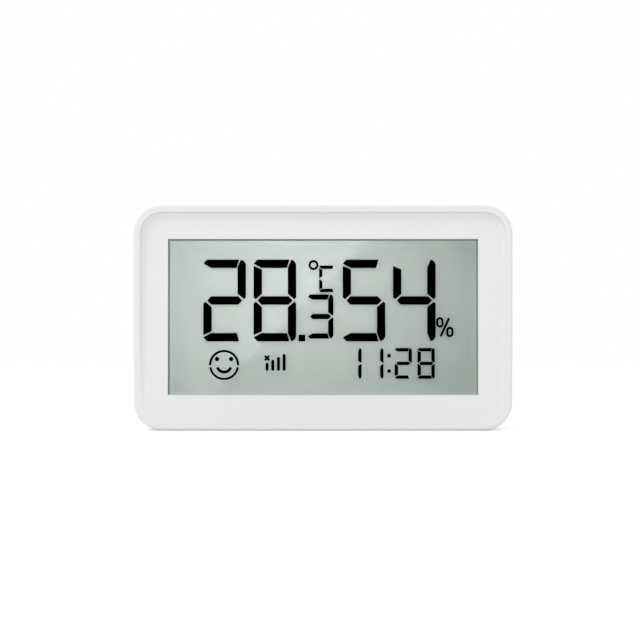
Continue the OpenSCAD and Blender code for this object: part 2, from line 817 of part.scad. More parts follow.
module lcd_front_glass() color(glass_tint) on_face()
    face_box(glass_w, glass_h + ledge_h, front_glass_y, front_glass_y + glass_t, 0, ledge_h / 2);

module lcd_seal() color([0.3, 0.3, 0.3]) on_face() difference() {
    face_box(glass_w, glass_h, marks_y + bond / 2, rear_glass_y - bond / 2);
    face_box(glass_w - 2 * seal_w, glass_h - 2 * seal_w, marks_y - over, rear_glass_y + over);
}

module lcd_rear_glass() color(glass_tint) on_face()
    face_box(glass_w, glass_h, rear_glass_y, rear_glass_y + glass_t);

module reflector_film() color(reflector_green) on_face()
    face_box(glass_w - 2 * bond, glass_h - 2 * bond, film_y, film_y + film_t);

// Display marks

module temperature_digits() color(mark_black) {
    top = digit_rise + digit_h / 2;
    bottom = digit_rise - digit_h / 2;
    ones_x = temperature_x + digit_w + digit_gap;
    point_x = ones_x + digit_w + point_gap;
    tenths_x = point_x + point_size + point_gap;
    tenths_top = bottom + tenths_h + tenths_stroke / 2;
    unit_x = tenths_x + tenths_w - unit_w + unit_stroke * 0.8;
    unit_top = tenths_top + unit_gap + unit_h;
    strokes(STROKES[2], temperature_x, top, digit_w, digit_h, digit_stroke);
    strokes(STROKES[8], ones_x, top, digit_w, digit_h, digit_stroke);
    mark() translate([point_x, bottom]) square(point_size);
    strokes(STROKES[3], tenths_x, tenths_top, tenths_w, tenths_h, tenths_stroke);
    strokes(UNIT_STROKES, unit_x, unit_top, unit_w, unit_h, unit_stroke);
    mark() translate([unit_x - degree_d / 2 - sign_gap, unit_top + sign_gap]) ring(degree_d, thin_stroke);
}

module humidity_digits() color(mark_black) {
    top = digit_rise + digit_h / 2;
    bottom = digit_rise - digit_h / 2;
    ones_x = humidity_x + digit_w + digit_gap;
    sign_x = ones_x + digit_w + sign_gap;
    sign_w = percent_h * 0.87;
    zero_w = percent_h * 0.37;
    zero_h = percent_h * 0.52;
    lean = atan(percent_h * 0.46 / percent_h);
    strokes(STROKES[5], humidity_x, top, digit_w, digit_h, digit_stroke);
    strokes(STROKES[4], ones_x, top, digit_w, digit_h, digit_stroke);
    mark() translate([sign_x, bottom + digit_stroke / 2]) {
        for (p = [[zero_w / 2, percent_h - zero_h / 2], [sign_w - zero_w / 2, zero_h / 2]])
            translate(p) long_ring(zero_w, zero_h, thin_stroke);
        translate([sign_w / 2, percent_h / 2]) rotate(-lean) square([thin_stroke, percent_h], center = true);
    }
}

// Upright ring with straight sides
module long_ring(w, h, stroke) {
    difference() {
        rounded_rect(w, h, w * 0.49);
        rounded_rect(w - 2 * stroke, h - 2 * stroke, (w - 2 * stroke) * 0.49);
    }
}

module clock_digits() color(mark_black) {
    top = clock_h / 2 - row_drop;
    colon_x = clock_x - clock_w - clock_pitch - colon_gap;
    hour_x = colon_x - colon_gap - clock_w;
    strokes(STROKES[1], hour_x - hour_pitch, top, clock_w, clock_h, clock_stroke);
    strokes(STROKES[1], hour_x, top, clock_w, clock_h, clock_stroke);
    for (side = [-1, 1]) mark()
        translate([colon_x, side * clock_h / 4 - row_drop]) square(clock_stroke, center = true);
    strokes(STROKES[2], clock_x - clock_w - clock_pitch, top, clock_w, clock_h, clock_stroke);
    strokes(STROKES[8], clock_x - clock_w, top, clock_w, clock_h, clock_stroke);
}

module comfort_face() color(mark_black) {
    eye_r = face_d * 0.073;
    eye_x = face_d * 0.234;
    eye_z = face_d * 0.197;
    mouth_r = face_d * 0.285;
    mouth_stroke = thin_stroke * 1.36;
    mouth_end = 30;
    split_w = thin_stroke * 0.8;
    split_z = -thin_stroke * 0.6;
    face_middle = [face_x, -row_drop - face_drop];
    mark() translate(face_middle) difference() {
        ring(face_d, thin_stroke);
        translate([0, split_z]) square([2 * face_d, split_w], center = true);
    }
    for (side = [-1, 1]) mark() translate(face_middle) translate([side * eye_x, eye_z]) circle(eye_r);
    mark() translate(face_middle) smile(mouth_r, mouth_stroke, mouth_end);
}

// Arc open to the top, with round ends at this angle below the level
module smile(r, stroke, end) {
    far_x = 3 * r * cos(end);
    far_z = -3 * r * sin(end);
    intersection() {
        ring(2 * r, stroke);
        polygon([[0, 0], [-far_x, far_z], [far_x, far_z]]);
    }
    for (side = [-1, 1]) rotate(-90 + side * (90 - end)) translate([r - stroke / 2, 0]) circle(d = stroke);
}

module signal_bars() color(mark_black) {
    bottom = -row_drop - bar_h * 0.44;
    heights = [for (i = [0:3]) bar_h * (0.48 + 0.52 * i / 3)];
    cross_z = bottom + heights[0] + cross_rise;
    for (i = [0:3]) mark() translate([bars_x + i * bar_pitch, bottom]) {
        translate([-bar_w / 2, bar_w / 2]) square([bar_w, heights[i] - bar_w]);
        for (z = [bar_w / 2, heights[i] - bar_w / 2]) translate([0, z]) circle(d = bar_w);
    }
    mark() translate([bars_x, cross_z]) for (a = [-45, 45])
        rotate(a) square([cross_len, thin_stroke], center = true);
}

// Spacer, rubber strip, board and what is on it

module display_spacer() color([0.93, 0.93, 0.92]) on_face() difference() {
    face_box(glass_w, glass_h + ledge_h, spacer_y, spacer_y + spacer_t, 0, ledge_h / 2);
    face_box(glass_w - 2 * spacer_rail, glass_h - 2 * spacer_rail, spacer_y - over, board_y + over);
    face_box(zebra_len + 2 * zebra_clear, zebra_w + 2 * zebra_clear,
             spacer_y - over, board_y + over, 0, zebra_z);
}

module zebra_strip() color(rubber_grey) on_face()
    face_box(zebra_len, zebra_w, marks_y + bond, board_y - bond, 0, zebra_z);

module main_board() color(board_green) difference() {
    on_face() {
        face_box(board_w, board_mid_h, board_y, board_back);
        face_box(board_core_w, board_h, board_y, board_back);
    }
    at_posts() bar_y(board_screw_d / 2 + shank_clear, board_y - over, board_back + over);
}

module board_screws() color(bare_metal) at_posts() translate([0, board_back + bond, 0])
    screw(board_screw_d, board_screw_len, board_head_d, board_head_h);

module radio_chip() color(chip_black) board_part(radio_side, radio_side, radio_t, radio_x, top_row);

module radio_crystal() color(bare_metal) board_part(crystal_w, crystal_h, crystal_t, crystal_x, top_row);

module chip_antenna() color([0.9, 0.9, 0.86])
    board_part(antenna_w, antenna_h, antenna_t, antenna_x, top_row + antenna_rise);

// Flat package with a comb of leads on each side
module display_driver() color(chip_black) {
    foot_y0 = board_back + bond;
    board_part(driver_side, driver_side, driver_t, -driver_x, bottom_row, lead_t / 2);
    on_face() translate([-driver_x, 0, bottom_row]) for (side = [0:3], i = [0:lead_n - 1])
        rotate([0, 90 * side, 0]) translate([(i - (lead_n - 1) / 2) * lead_pitch, 0, driver_side / 2])
            face_box(lead_w, 2 * lead_reach, foot_y0, foot_y0 + lead_t);
}

module clock_crystal() color(bare_metal) on_face()
    translate([can_x, board_back + bond + can_d / 2, bottom_row]) bar_x(can_d / 2, 0, can_len);

module chip_parts() color([0.45, 0.38, 0.3]) {
    for (i = [0:passive_n - 1]) {
        board_part(passive_len, passive_w, passive_t, passives_x + i * passive_pitch, top_row);
        board_part(passive_w, passive_len, passive_t, low_passives_x + i * passive_pitch, bottom_row);
    }
    board_part(capacitor_w, capacitor_h, capacitor_t, capacitor_x, top_row);
}

module air_sensor() color([0.15, 0.15, 0.15]) difference() {
    board_part(sensor_side, sensor_side, sensor_t, sensor_x, -vent_drop);
    on_face() translate([sensor_x, 0, -vent_drop])
        bar_y(port_d / 2, board_back + sensor_t / 2, board_back + sensor_t + over);
}

module pairing_switch() color([0.6, 0.6, 0.6]) difference() {
    board_part(switch_size, switch_size, switch_h, button_x, button_rise);
    on_face() translate([button_x, 0, button_rise])
        bar_y(plunger_r + plunger_clear, board_back + switch_h / 2, board_back + switch_h + over);
}

module switch_plunger() color(chip_black) on_face() translate([button_x, 0, button_rise])
    bar_y(plunger_r, board_back + switch_h / 2 + button_travel + plunger_clear, board_back + switch_total_h);

// Button from the back: flange behind its guide tube, stem down to the plunger
module pairing_button() color(white_plastic) translate([button_x, 0, button_z]) {
    flange_y0 = button_guide_y - bond - button_flange_t;
    dish_r = button_r * 4;
    difference() {
        bar_y(button_r, flange_y0, back_y - button_sink);
        translate([0, back_y - button_sink + dish_r - dish_depth, 0]) sphere(dish_r);
    }
    bar_y(button_r + button_flange_w, flange_y0, flange_y0 + button_flange_t);
    bar_y(plunger_r, plunger_top_y + button_gap, flange_y0);
}

// Rear shell

module cell_trough(r, half_len) {
    for (z = [lower_z, upper_z]) translate([0, cell_y, z]) bar_x(r, -half_len, half_len);
}

// Solid blocks that the bay, the keyhole and the hinges are cut from
module rear_blocks() {
    half_bay = bay_len / 2 + bay_wall;
    inside_back = back_y - back_t / 2;
    hinge_low = min(door_open_bottom - beam_t, foot_tip);
    half_lugs = door_open_w / 2 + lug_w;
    half_foot = foot_w / 2 + foot_clear + lug_w;
    half_key = key_entry_r + key_room + bay_wall;
    cell_trough(trough_r + bay_wall, half_bay);
    span([-half_bay, cell_y, bay_bottom - bay_wall], [half_bay, inside_back, bay_top + bay_wall]);
    span([-half_lugs, knuckle_y - knuckle_r - door_clear - bay_wall, hinge_low],
         [half_lugs, inside_back, knuckle_z + knuckle_r + bay_wall]);
    span([-half_foot, back_y - foot_t - foot_clear - bay_wall, wall / 2],
         [half_foot, inside_back, door_open_bottom]);
    span([-half_key, back_y - back_t - key_depth - bay_wall, bay_top],
         [half_key, inside_back, case_h - wall / 2]);
    translate([button_x, 0, button_z])
        bar_y(button_r + button_clear + guide_wall, button_guide_y, inside_back);
    at_bosses() bar_y(well_r + well_wall, part_y, inside_back);
}

// Two troughs open to the back, with slots for the solder tabs
module bay_hollow() {
    half_len = bay_len / 2;
    cell_trough(trough_r, half_len);
    half_tab = tab_w / 2 + tab_clear;
    span([-half_len, cell_y, bay_bottom], [half_len, back_y + over, bay_top]);
    for (z = [lower_z, upper_z])
        span([half_len - contact_t - tab_clear, part_y - over, z - half_tab],
             [half_len, cell_y, z + half_tab]);
}

module door_hollow() {
    half_w = door_open_w / 2;
    pin_end = door_w / 2 + pin_len + pin_end_clear;
    span([-half_w, back_y - door_t - bond, door_open_bottom], [half_w, back_y + over, door_open_top]);
    span([-half_w, knuckle_y - knuckle_r - door_clear, door_open_bottom],
         [half_w, back_y + over, knuckle_z + knuckle_r + door_clear]);
    translate([0, knuckle_y, knuckle_z]) bar_x(door_pin_r + pin_clear, -pin_end, pin_end);
}

module foot_hollow() {
    half_w = foot_w / 2 + foot_clear;
    pin_end = foot_w / 2 + pin_len + pin_end_clear;
    span([-half_w, back_y - foot_t - foot_clear, foot_lip], [half_w, back_y + over, foot_tip + foot_clear]);
    translate([0, foot_y, foot_z]) bar_x(foot_pin_r + pin_clear, -pin_end, pin_end);
}

module key_hollow() {
    half_w = key_entry_r + key_room;
    inner_y = back_y - back_t - over;
    span([-half_w, back_y - back_t - key_depth, key_z - key_entry_r - key_room],
         [half_w, back_y - back_t, key_end_z + key_slot_r + key_room]);
    translate([0, 0, key_z]) bar_y(key_entry_r, inner_y, back_y + over);
    translate([0, 0, key_end_z]) bar_y(key_slot_r, inner_y, back_y + over);
    span([-key_slot_r, inner_y, key_z], [key_slot_r, back_y + over, key_end_z]);
}

// Round-ended slots through the right-hand wall, beside the air sensor
module vents() {
    middle_y = (part_y + back_y) / 2;
    reach = vent_len / 2 - vent_w / 2;
    inner_x = case_w / 2 - wall - over;
    outer_x = case_w / 2 + over;
    first = window_z - vent_drop - vent_pitch * (vent_n - 1) / 2;
    for (i = [0:vent_n - 1]) translate([0, middle_y, first + i * vent_pitch]) {
        span([inner_x, -reach, -vent_w / 2], [outer_x, reach, vent_w / 2]);
        for (y = [-reach, reach]) translate([0, y, 0]) bar_x(vent_w / 2, inner_x, outer_x);
    }
}

module rear_shell_walls() {
    difference() {
        union() {
            case_form(part_y + part_gap, back_y, 0, back_r);
            case_plate(wall - lip_t, part_y - lip_reach, part_y + part_gap);
        }
        case_plate(wall, part_y - lip_reach - over, back_y - back_t);
    }
}

module rear_housing() color(white_plastic) difference() {
    union() {
        rear_shell_walls();
        rear_blocks();
    }
    bay_hollow();
    door_hollow();
    foot_hollow();
    key_hollow();
    vents();
    translate([button_x, 0, button_z]) bar_y(button_r + button_clear, part_y, back_y + over);
    at_bosses() bar_y(screw_d / 2 + shank_clear, part_y - over, back_y);
    at_bosses() bar_y(well_r, seat_y, back_y + over);
}

module housing_screws() color(bare_metal) at_bosses() translate([0, seat_y + bond, 0])
    screw(screw_d, screw_len, screw_head_d, screw_head_h);

// Cells and contacts

// Cell with its button towards +X, the middle of its length at the origin
module cell() color([0.25, 0.5, 0.4]) {
    r = cell_d / 2;
    body_end = cell_len / 2 - nub_h;
    bar_x(r, crimp_len - cell_len / 2, body_end - crimp_len);
    bar_x(r - crimp_step, -cell_len / 2, body_end);
    bar_x(nub_d / 2, body_end, cell_len / 2);
}

module lower_cell() translate([cell_shift, cell_y, lower_z]) cell();

module upper_cell() translate([-cell_shift, cell_y, upper_z]) mirror([1, 0, 0]) cell();

// Contact plate against the right-hand end of the bay, round where the trough is round
module contact_plate(z) {
    translate([bay_len / 2 - contact_t - bond / 2, cell_y, z]) rotate([90, 0, 90]) linear_extrude(contact_t) {
        circle(contact_r);
        translate([0, -contact_r]) square([contact_back, 2 * contact_r]);
    }
}

module contact_dimple(z) {
    foot_of_dimple = bay_len / 2 - contact_t - bond / 2;
    translate([foot_of_dimple - dimple_h, cell_y, z]) rotate([0, 90, 0])
        cylinder(r1 = nub_d * 0.4, r2 = nub_d * 0.6, h = dimple_h);
}

module solder_tab(z) {
    end_y = board_back_y(z + tab_w / 2) + bond;
    x = bay_len / 2 - bond / 2;
    span([x - contact_t, end_y, z - tab_w / 2], [x, cell_y, z + tab_w / 2]);
}

module positive_contact() color(bare_metal) {
    contact_plate(lower_z);
    contact_dimple(lower_z);
    solder_tab(lower_z);
}

module negative_contact() color(bare_metal) {
    contact_plate(upper_z);
    solder_tab(upper_z);
}

module bridge_contact() color(bare_metal) mirror([1, 0, 0]) {
    x = bay_len / 2 - contact_t - bond / 2;
    contact_plate(lower_z);
    contact_plate(upper_z);
    contact_dimple(upper_z);
    span([x, cell_y, lower_z], [x + contact_t, cell_y + contact_back, upper_z]);
}

// Conical spring along X from its wide end at the origin, one tube of six sides
module spring() {
    points = [for (i = [0:coil_rings], k = [0:TUBE_SIDES - 1]) tube_point(i, k)];
    sides = [for (i = [0:coil_rings - 1], k = [0:TUBE_SIDES - 1])
        let (a = i * TUBE_SIDES + k, b = i * TUBE_SIDES + (k + 1) % TUBE_SIDES)
        each [[a, a + TUBE_SIDES, b], [b, a + TUBE_SIDES, b + TUBE_SIDES]]];
    last = coil_rings * TUBE_SIDES;
    start_cap = [for (k = [1:TUBE_SIDES - 2]) [0, k, k + 1]];
    end_cap = [for (k = [1:TUBE_SIDES - 2]) [last, last + k + 1, last + k]];
    polyhedron(points, concat(sides, start_cap, end_cap));
}

module negative_spring() color(bare_metal)
    translate([bay_len / 2 - contact_t - bond / 2, cell_y, upper_z]) mirror([1, 0, 0]) spring();

module bridge_spring() color(bare_metal)
    translate([contact_t + bond / 2 - bay_len / 2, cell_y, lower_z]) spring();

// Battery door: plate with a round hinge edge below and a spring tongue above
module battery_door() color(white_plastic) {
    top = door_open_top - door_clear;
    scoop_half = sqrt(scoop_r * scoop_r - (scoop_r - scoop_depth) * (scoop_r - scoop_depth));
    scoop_y = back_y + scoop_r - scoop_depth;
    scoop_z = top - scoop_margin - scoop_half;
    scoop_x = tongue_w / 2 - scoop_margin;
    difference() {
        union() {
            span([-door_w / 2, back_y - door_t, knuckle_z], [door_w / 2, back_y, top]);
            translate([0, knuckle_y, knuckle_z]) {
                bar_x(knuckle_r, -door_w / 2, door_w / 2);
                bar_x(door_pin_r, -door_w / 2 - pin_len, door_w / 2 + pin_len);
            }
        }
        for (x = [-tongue_w / 2 - tongue_slot, tongue_w / 2])
            span([x, back_y - door_t - over, top - tongue_len], [x + tongue_slot, back_y + over, top + over]);
        translate([0, scoop_y, scoop_z]) bar_x(scoop_r, -scoop_x, scoop_x);
    }
    for (rise = [-grip_pitch, 0, grip_pitch])
        translate([0, scoop_y - sqrt(scoop_r * scoop_r - rise * rise), scoop_z + rise])
            bar_x(grip_r, -scoop_x - grip_r, scoop_x + grip_r);
}

// Foot: plate with a round hinge edge below, a finger notch above and thinned panels inside
module fold_out_foot() color(white_plastic) {
    panel_low = foot_z + foot_r;
    panel_high = foot_tip - notch_depth - foot_rib;
    difference() {
        union() {
            span([-foot_w / 2, back_y - foot_t, foot_z], [foot_w / 2, back_y, foot_tip]);
            translate([0, foot_y, foot_z]) {
                bar_x(foot_r, -foot_w / 2, foot_w / 2);
                bar_x(foot_pin_r, -foot_w / 2 - pin_len, foot_w / 2 + pin_len);
            }
        }
        translate([0, 0, foot_tip + notch_r - notch_depth])
            bar_y(notch_r, back_y - foot_t - over, back_y + over);
        for (side = [0, 1]) mirror([side, 0, 0])
            span([foot_rib / 2, back_y - foot_t - over, panel_low],
                 [foot_w / 2 - foot_rib, back_y - foot_t + panel_depth, panel_high]);
    }
}

front_housing();
lens_tape();
display_lens();
front_polariser();
lcd_front_glass();
lcd_seal();
temperature_digits();
humidity_digits();
clock_digits();
comfort_face();
signal_bars();
lcd_rear_glass();
reflector_film();
display_spacer();
zebra_strip();
main_board();
board_screws();
radio_chip();
display_driver();
radio_crystal();
clock_crystal();
chip_antenna();
chip_parts();
air_sensor();
pairing_switch();
switch_plunger();
pairing_button();
rear_housing();
housing_screws();
lower_cell();
upper_cell();
positive_contact();
negative_contact();
negative_spring();
bridge_contact();
bridge_spring();
battery_door();
fold_out_foot();
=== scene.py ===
import math

import bpy
from mathutils import Matrix, Vector


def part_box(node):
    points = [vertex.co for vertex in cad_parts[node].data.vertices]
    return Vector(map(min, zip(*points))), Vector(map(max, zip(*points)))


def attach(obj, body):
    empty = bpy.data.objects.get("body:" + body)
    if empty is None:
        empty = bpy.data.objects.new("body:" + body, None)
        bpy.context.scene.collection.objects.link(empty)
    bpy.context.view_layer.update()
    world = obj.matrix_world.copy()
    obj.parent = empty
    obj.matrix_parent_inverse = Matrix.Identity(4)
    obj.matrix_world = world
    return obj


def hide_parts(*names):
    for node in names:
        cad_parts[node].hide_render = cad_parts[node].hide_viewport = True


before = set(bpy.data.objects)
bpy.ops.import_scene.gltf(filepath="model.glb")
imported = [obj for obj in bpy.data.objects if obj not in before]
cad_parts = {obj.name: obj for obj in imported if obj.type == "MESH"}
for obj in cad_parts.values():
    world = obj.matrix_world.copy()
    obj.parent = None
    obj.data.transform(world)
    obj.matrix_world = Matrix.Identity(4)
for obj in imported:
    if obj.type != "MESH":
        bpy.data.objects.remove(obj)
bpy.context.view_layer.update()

# Front housing
# White moulded shell with a raised rim round a face that leans back towards the top.
# It comes out of a spark-eroded tool, so its skin has a fine even grain and softly broken edges.
shell_white = (0.775, 0.775, 0.77)
corner_r = 0.0063
edge_break = 0.00014
rim_break = 0.00007
break_steps = 3
weld_distance = 0.000002
on_plane = 0.00002
flat_angle = math.radians(0.6)
sharp_angle = math.radians(35)
smooth_angle = math.radians(24)
noise_low = 0.3
noise_high = 0.7
flow_size = 0.012
flow_shade = 0.985
mottle_size = 0.0008
front_low, front_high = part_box("front_housing")
case_w = front_high.x - front_low.x
case_h = front_high.z - front_low.z


def start_material(name):
    """A new node material, with its tree and its shader."""
    material = bpy.data.materials.new(name)
    material.use_nodes = True
    return material, material.node_tree, material.node_tree.nodes["Principled BSDF"]


def noise_on_object(tree, size, detail=2, stretch=(1, 1, 1)):
    """Noise in the piece's own frame, with features of about this size in metres."""
    place = tree.nodes.new("ShaderNodeTexCoord")
    turn = tree.nodes.new("ShaderNodeMapping")
    turn.inputs["Scale"].default_value = stretch
    noise = tree.nodes.new("ShaderNodeTexNoise")
    noise.inputs["Scale"].default_value = 1 / size
    noise.inputs["Detail"].default_value = detail
    tree.links.new(place.outputs["Object"], turn.inputs["Vector"])
    tree.links.new(turn.outputs["Vector"], noise.inputs["Vector"])
    return noise.outputs["Fac"]


def spread(tree, noise, ends, socket):
    """Feeds a socket with noise that runs from the first end to the second."""
    ramp = tree.nodes.new("ShaderNodeMapRange")
    ramp.inputs["From Min"].default_value = noise_low
    ramp.inputs["From Max"].default_value = noise_high
    ramp.inputs["To Min"].default_value = ends[0]
    ramp.inputs["To Max"].default_value = ends[1]
    tree.links.new(noise, ramp.inputs["Value"])
    tree.links.new(ramp.outputs["Result"], socket)


def blend(tree, value, first, second):
    """A mix of two colours, each given as numbers or as a socket."""
    mix = tree.nodes.new("ShaderNodeMix")
    mix.data_type = "RGBA"
    for letter, colour in (("A", first), ("B", second)):
        if isinstance(colour, tuple):
            mix.inputs[letter].default_value = (*colour, 1)
        else:
            tree.links.new(colour, mix.inputs[letter])
    tree.links.new(value, mix.inputs["Factor"])
    return mix.outputs["Result"]


def shaded(colour, share):
    """A colour taken down to a share of its brightness."""
    return tuple(share * c for c in colour)


def moulded_plastic(name, colour, gloss, relief):
    """Moulded plastic with faint flow marks, and a tool grain given by its size and height."""
    material, tree, shader = start_material(name)
    flow = noise_on_object(tree, flow_size, detail=3)
    tree.links.new(blend(tree, flow, shaded(colour, flow_shade), colour), shader.inputs["Base Color"])
    spread(tree, noise_on_object(tree, mottle_size), gloss, shader.inputs["Roughness"])
    grain_size, grain_height = relief
    bump = tree.nodes.new("ShaderNodeBump")
    bump.inputs["Strength"].default_value = 1.0
    bump.inputs["Distance"].default_value = grain_height
    tree.links.new(noise_on_object(tree, grain_size), bump.inputs["Height"])
    tree.links.new(bump.outputs["Normal"], shader.inputs["Normal"])
    return material


def add_object(name, data):
    """A new object in the scene, with this data."""
    piece = bpy.data.objects.new(name, data)
    bpy.context.scene.collection.objects.link(piece)
    return piece


def pick(piece):
    """Makes a piece the active one, and the only one that is selected."""
    bpy.ops.object.select_all(action="DESELECT")
    bpy.context.view_layer.objects.active = piece
    piece.select_set(True)


def apply_modifier(piece, kind, **settings):
    """Adds a modifier with these settings and applies it."""
    modifier = piece.modifiers.new(kind.lower(), kind)
    for setting, value in settings.items():
        setattr(modifier, setting, value)
    pick(piece)
    bpy.ops.object.modifier_apply(modifier=modifier.name)


def open_piece(piece, faces=None, edges=None):
    """Opens a piece in edit mode with only the wanted faces or edges selected."""
    pick(piece)
    mesh = piece.data
    for part in (mesh.vertices, mesh.edges, mesh.polygons):
        part.foreach_set("select", [False] * len(part))
    bpy.context.tool_settings.mesh_select_mode = (False, edges is not None, faces is not None)
    for part, wanted in ((mesh.edges, edges), (mesh.polygons, faces)):
        if wanted:
            part.foreach_set("select", [wanted(item) for item in part])
    bpy.ops.object.mode_set(mode="EDIT")


def close_piece():
    """Goes back out of edit mode."""
    bpy.ops.object.mode_set(mode="OBJECT")


def moulded_copy(node, body, name):
    """A welded copy of a solid, to be finished as the moulding that stands for it."""
    piece = add_object(name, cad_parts[node].data.copy())
    open_piece(piece, faces=lambda face: True)
    bpy.ops.mesh.remove_doubles(threshold=weld_distance)
    bpy.ops.mesh.dissolve_limited(angle_limit=flat_angle)
    close_piece()
    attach(piece, body)
    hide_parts(node)
    return piece


def break_edges(piece, is_outside, width=edge_break):
    """Rounds the sharp edges that lie on the outside of a moulding."""
    mesh = piece.data
    normals_at = {}
    for face in mesh.polygons:
        for key in face.edge_keys:
            normals_at.setdefault(key, []).append(face.normal.copy())

    def is_sharp(edge):
        normals = normals_at.get(edge.key, [])
        if len(normals) != 2 or normals[0].angle(normals[1]) < sharp_angle:
            return False
        return all(is_outside(mesh.vertices[v].co) for v in edge.vertices)

    open_piece(piece, edges=is_sharp)
    bpy.ops.mesh.bevel(offset=width, segments=break_steps, affect="EDGES", clamp_overlap=False)
    close_piece()


def smooth_skin(piece, angle=smooth_angle):
    """Smooth shading over the curved stretches, with the flats kept flat."""
    pick(piece)
    bpy.ops.object.shade_smooth_by_angle(angle=angle)
    apply_modifier(piece, "WEIGHTED_NORMAL", keep_sharp=True)


def paint(piece, slot, *materials):
    """Gives a piece its finishes; the slot argument is not used."""
    piece.data.materials.clear()
    for material in materials:
        piece.data.materials.append(material)


def on_skin(p):
    """Whether a point lies on the outer skin, seen from the front."""
    past_x = abs(p.x) - case_w / 2 + corner_r
    past_z = abs(p.z - case_h / 2) - case_h / 2 + corner_r
    if past_x > 0 and past_z > 0:
        return math.hypot(past_x, past_z) > corner_r - on_plane
    return max(past_x, past_z) > corner_r - on_plane


def at_rim(p):
    """Whether a point lies on the flat of the rim, right at the front."""
    return p.y < front_low.y + on_plane


def at_parting_line(p):
    """Whether a point lies where the two halves of the case meet."""
    return p.y > front_high.y - on_plane and on_skin(p)


white_abs = moulded_plastic("white_abs", shell_white, gloss=(0.40, 0.48), relief=(0.00022, 0.000006))
front_shell = moulded_copy("front_housing", "case", "front_shell")
break_edges(front_shell, at_parting_line)
break_edges(front_shell, at_rim, rim_break)
smooth_skin(front_shell)
paint(front_shell, "white_housing", white_abs)

# Lens tape
# Black foam tape, die-cut to a frame, which sticks the lens to the back of the face.
tape_black = (0.018, 0.018, 0.018)


def dress(node, material):
    """Gives a solid that keeps its own shape its finish."""
    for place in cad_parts[node].material_slots:
        place.material = material


foam_tape = moulded_plastic("foam_tape", tape_black, gloss=(0.75, 0.9), relief=(0.0003, 0.00003))
dress("lens_tape", foam_tape)

# Display lens
# Clear acrylic window with a step round it, polished and given an anti-reflection coat.
# The coat takes the mirror image away straight on, and lets it grow towards the edges of sight.
acrylic_clear = (0.99, 0.99, 0.99)
acrylic_index = 1.3
coat_slack = 0.0005
wipe_size = 0.004


def math_step(tree, operation, *terms):
    """One sum on values or sockets, and its result."""
    node = tree.nodes.new("ShaderNodeMath")
    node.operation = operation
    for socket, term in zip(node.inputs, terms):
        if isinstance(term, (int, float)):
            socket.default_value = term
        else:
            tree.links.new(term, socket)
    return node.outputs[0]


def clear_sheet(name, colour, index, gloss):
    """A coated clear sheet: light goes straight through, and the front mirrors only at a slant."""
    material, tree, shader = start_material(name)
    tree.nodes.remove(shader)
    through = tree.nodes.new("ShaderNodeBsdfTransparent")
    through.inputs["Color"].default_value = (*colour, 1)
    mirrored = tree.nodes.new("ShaderNodeBsdfGlossy")
    spread(tree, noise_on_object(tree, wipe_size), gloss, mirrored.inputs["Roughness"])
    bare = tree.nodes.new("ShaderNodeFresnel")
    bare.inputs["IOR"].default_value = index
    straight_on = ((index - 1) / (index + 1)) ** 2
    coated = math_step(tree, "SUBTRACT", bare.outputs["Fac"], straight_on + coat_slack)
    side = tree.nodes.new("ShaderNodeNewGeometry")
    front_only = math_step(tree, "SUBTRACT", coated, side.outputs["Backfacing"])
    both = tree.nodes.new("ShaderNodeMixShader")
    tree.links.new(math_step(tree, "MAXIMUM", front_only, 0), both.inputs["Fac"])
    tree.links.new(through.outputs["BSDF"], both.inputs[1])
    tree.links.new(mirrored.outputs["BSDF"], both.inputs[2])
    tree.links.new(both.outputs["Shader"], tree.nodes["Material Output"].inputs["Surface"])
    return material


dress("display_lens", clear_sheet("clear_acrylic", acrylic_clear, acrylic_index, gloss=(0.02, 0.06)))

# Liquid crystal display
# Two panes of thin glass, sealed round their edge, with a polariser in front
# and a grey-green reflector film behind, which the daylight comes back from.
polariser_clear = (0.988, 0.99, 0.988)
pane_clear = (0.99, 0.991, 0.99)
pane_index = 1.2
seal_grey = (0.09, 0.095, 0.09)
film_green = (0.271, 0.352, 0.312)
film_index = 2.2
film_gloss = 0.0
pearl_size = 0.0009
window_w = 0.0696
window_h = 0.0350
window_z = 0.0254
# How far the window's walls shade the film, and how strongly the film is painted paler to make up for
# it.
wall_reach = 0.0020
half_sky = 0.5
painted_light_power = 0.9
polariser = clear_sheet("polariser_film", polariser_clear, pane_index, gloss=(0.1, 0.2))
dress("front_polariser", polariser)
pane_glass = clear_sheet("pane_glass", pane_clear, pane_index, gloss=(0.02, 0.05))
dress("lcd_front_glass", pane_glass)
dress("lcd_rear_glass", pane_glass)
edge_seal = moulded_plastic("edge_seal", seal_grey, gloss=(0.3, 0.5), relief=(0.0006, 0.00001))
dress("lcd_seal", edge_seal)


def object_axes(tree):
    """The piece's own x, y and z."""
    place = tree.nodes.new("ShaderNodeTexCoord")
    axes = tree.nodes.new("ShaderNodeSeparateXYZ")
    tree.links.new(place.outputs["Object"], axes.inputs["Vector"])
    return axes.outputs


def distance_from(tree, coordinate, middle):
    """How far a coordinate lies from the middle, on either side."""
    return math_step(tree, "ABSOLUTE", math_step(tree, "SUBTRACT", coordinate, middle))


def open_share(tree, coordinate, middle, half):
    """How much of the sky the nearer of the window's two walls leaves open to a point behind it."""
    off = distance_from(tree, coordinate, middle)
    inwards = math_step(tree, "MAXIMUM", math_step(tree, "SUBTRACT", half, off), 0)
    slant = math_step(tree, "SQRT", math_step(tree, "MULTIPLY_ADD", inwards, inwards, wall_reach ** 2))
    return math_step(tree, "MULTIPLY_ADD", math_step(tree, "DIVIDE", inwards, slant), half_sky, half_sky)
